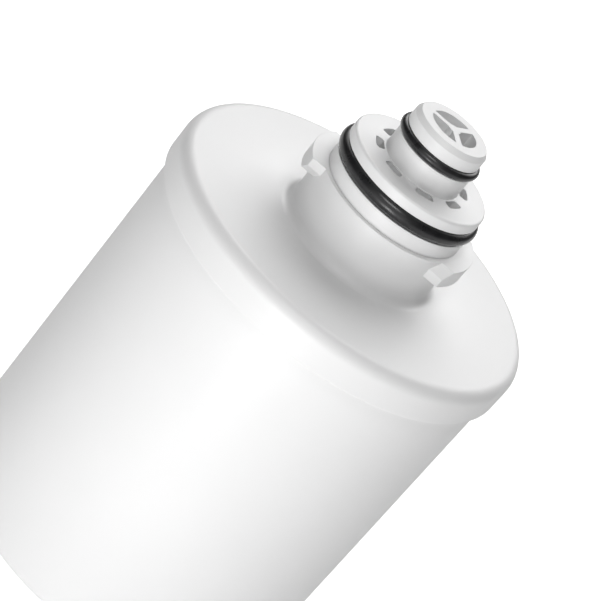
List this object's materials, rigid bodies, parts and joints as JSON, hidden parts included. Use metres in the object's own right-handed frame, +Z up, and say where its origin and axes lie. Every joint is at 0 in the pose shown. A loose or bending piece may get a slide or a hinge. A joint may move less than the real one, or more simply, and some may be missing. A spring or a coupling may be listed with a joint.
{
  "type": "water filter cartridge",
  "caption": "Short cylindrical sealed water filter cartridge with a welded cap, a necked bayonet mount, stepped nose, ring of inlet slots and ribbed outlet spigot with black O-rings.",
  "frame": {"origin": "middle of the flat bottom face", "axes": "+Z up the axis to the outlet spigot, +X through the middle of one bayonet lug"},
  "size_m": [0.08, 0.08, 0.1162],
  "materials": {
    "shell_white": "semi-matt moulded polypropylene",
    "cap_white": "semi-matt moulded polypropylene",
    "nose_white": "semi-matt moulded polypropylene",
    "seal_rubber": "smooth black rubber",
    "element_plastic": "matt natural polypropylene",
    "net_plastic": "matt extruded net",
    "carbon": "matt pressed carbon",
    "fleece": "soft non-woven",
    "bond": "waxy hot melt"
  },
  "bodies": {
    "root": {"body_shell": "shell_white", "end_cap": "cap_white", "nose_insert": "nose_white", "large_o_ring": "seal_rubber", "small_o_ring": "seal_rubber", "element_o_ring_1": "seal_rubber", "element_o_ring_2": "seal_rubber", "element_top_cap": "element_plastic", "element_bottom_cap": "element_plastic", "element_support": "element_plastic", "core_tube": "element_plastic", "guard_net": "net_plastic", "carbon_block": "carbon", "core_fleece": "fleece", "prefilter_fleece": "fleece", "top_bond": "bond", "bottom_bond": "bond"}
  },
  "joints": []
}
